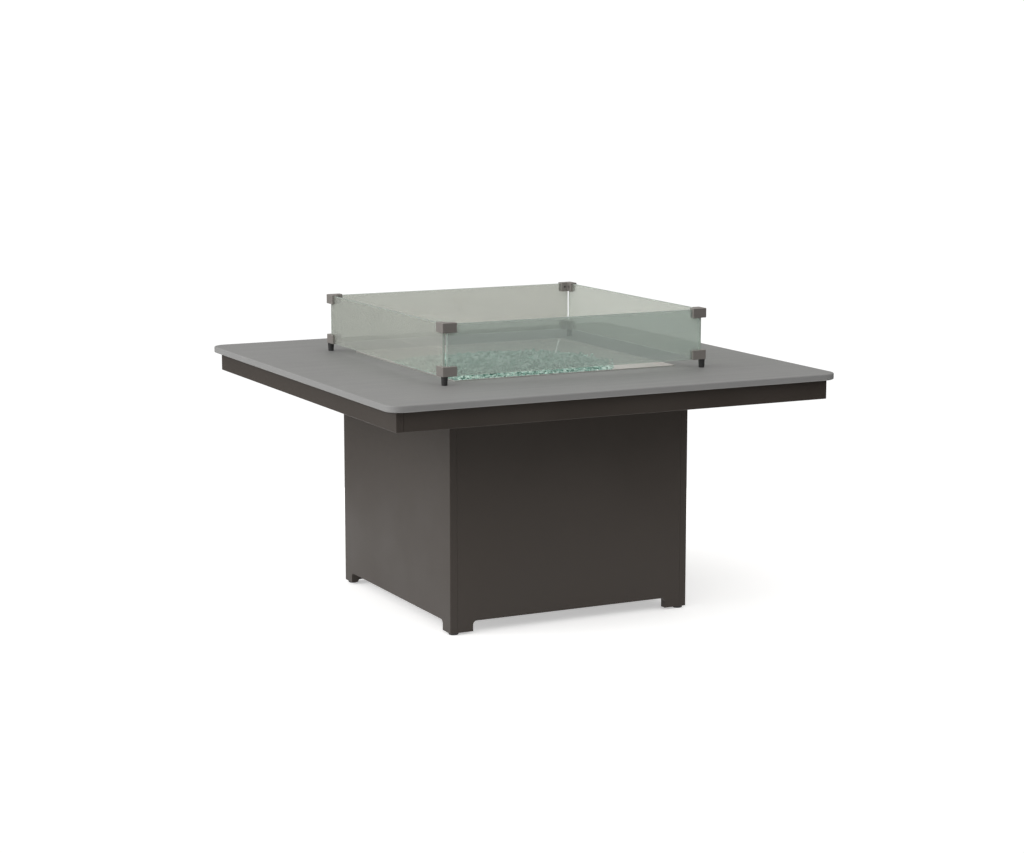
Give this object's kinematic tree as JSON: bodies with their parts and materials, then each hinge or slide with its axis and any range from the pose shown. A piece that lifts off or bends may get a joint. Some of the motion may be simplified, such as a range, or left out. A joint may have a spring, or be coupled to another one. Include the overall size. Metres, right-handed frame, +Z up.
{
  "type": "gas fire table",
  "caption": "Low square gas fire table: flat top with an apron, panelled pedestal base, burner pan with a crushed-glass bed, and a lift-off glass wind guard held by corner clamps.",
  "frame": {"origin": "on the floor under the middle of the table", "axes": "+Z up, -Y towards the pull-off access panel, +X towards the side with the gas controls"},
  "size_m": [1.219, 1.219, 0.778],
  "materials": {
    "grey_polymer": "fine matte grain, eased edges",
    "bronze_powder_coat": "fine satin powder coat, dark bronze",
    "stainless_steel": "satin brushed",
    "plated_steel": "zinc plated",
    "gunmetal": "dark satin gunmetal",
    "guard_glass": "clear tempered glass with polished pale edges",
    "aqua_fire_glass": "crushed tempered glass, pale aqua",
    "black_rubber": "matte black",
    "black_nylon": "matte black",
    "brass": "machined",
    "aluminium_tube": "plain drawn tube",
    "white_ceramic": "glazed insulator",
    "black_knob_plastic": "satin black"
  },
  "bodies": {
    "table": {"air_mixer": "brass", "apron_back": "bronze_powder_coat", "apron_front": "bronze_powder_coat", "apron_left": "bronze_powder_coat", "apron_right": "bronze_powder_coat", "back_panel": "bronze_powder_coat", "base_shelf": "bronze_powder_coat", "bearer_left": "bronze_powder_coat", "bearer_right": "bronze_powder_coat", "burner_pan": "stainless_steel", "burner_ring": "stainless_steel", "control_plate": "stainless_steel", "cross_bearer_back": "bronze_powder_coat", "cross_bearer_front": "bronze_powder_coat", "cylinder_ring": "bronze_powder_coat", "electrode_bracket": "stainless_steel", "electrode_ceramic": "white_ceramic", "electrode_rod": "stainless_steel", "fire_glass": "aqua_fire_glass", "gas_pipe": "aluminium_tube", "igniter_body": "black_nylon", "igniter_nut": "stainless_steel", "magnet_catches": "black_nylon", "orifice_elbow": "brass", "outriggers": "bronze_powder_coat", "plate_screws": "plated_steel", "post_back_left": "bronze_powder_coat", "post_back_right": "bronze_powder_coat", "post_front_left": "bronze_powder_coat", "post_front_right": "bronze_powder_coat", "post_plugs": "black_nylon", "shelf_rails": "bronze_powder_coat", "shelf_screws": "plated_steel", "side_panel_left": "bronze_powder_coat", "side_panel_right": "bronze_powder_coat", "table_top": "grey_polymer", "top_clips": "bronze_powder_coat", "top_screws": "plated_steel", "valve_body": "brass", "valve_nut": "plated_steel"},
    "guard": {"glass_front": "guard_glass", "glass_back": "guard_glass", "glass_left": "guard_glass", "glass_right": "guard_glass", "lower_clamps": "gunmetal", "upper_clamps": "gunmetal", "set_screws": "plated_steel", "guard_feet": "black_rubber"},
    "access_panel": {"access_panel": "bronze_powder_coat", "strike_plates": "plated_steel", "locating_pegs": "plated_steel"},
    "knob_carrier": {"thrust_washer": "plated_steel"},
    "knob": {"control_knob": "black_knob_plastic", "valve_stem": "plated_steel"},
    "igniter_button": {"igniter_button": "black_knob_plastic"},
    "glide_front_left": {"glide_front_left": "black_nylon"},
    "glide_front_right": {"glide_front_right": "black_nylon"},
    "glide_back_right": {"glide_back_right": "black_nylon"},
    "glide_back_left": {"glide_back_left": "black_nylon"}
  },
  "joints": [
    {"name": "guard_lift", "type": "slide", "parent": "table", "child": "guard", "axis": [0, 0, 1], "range_m": [0, 0.25]},
    {"name": "access_panel_pull", "type": "slide", "parent": "table", "child": "access_panel", "axis": [0, -1, 0], "range_m": [0, 0.35]},
    {"name": "knob_push", "type": "slide", "parent": "table", "child": "knob_carrier", "axis": [-1, 0, 0], "range_m": [0, 0.003], "stiffness_N_per_m": 800, "springref_m": -0.003},
    {"name": "knob_turn", "type": "hinge", "parent": "knob_carrier", "child": "knob", "pos_m": [0.345, 0, 0.44], "axis": [1, 0, 0], "range_deg": [0, 180]},
    {"name": "igniter_push", "type": "slide", "parent": "table", "child": "igniter_button", "axis": [-1, 0, 0], "range_m": [0, 0.005], "stiffness_N_per_m": 600, "springref_m": -0.003},
    {"name": "glide_front_left_screw", "type": "slide", "parent": "table", "child": "glide_front_left", "axis": [0, 0, -1], "range_m": [0, 0.012]},
    {"name": "glide_front_right_screw", "type": "slide", "parent": "table", "child": "glide_front_right", "axis": [0, 0, -1], "range_m": [0, 0.012]},
    {"name": "glide_back_right_screw", "type": "slide", "parent": "table", "child": "glide_back_right", "axis": [0, 0, -1], "range_m": [0, 0.012]},
    {"name": "glide_back_left_screw", "type": "slide", "parent": "table", "child": "glide_back_left", "axis": [0, 0, -1], "range_m": [0, 0.012]}
  ]
}
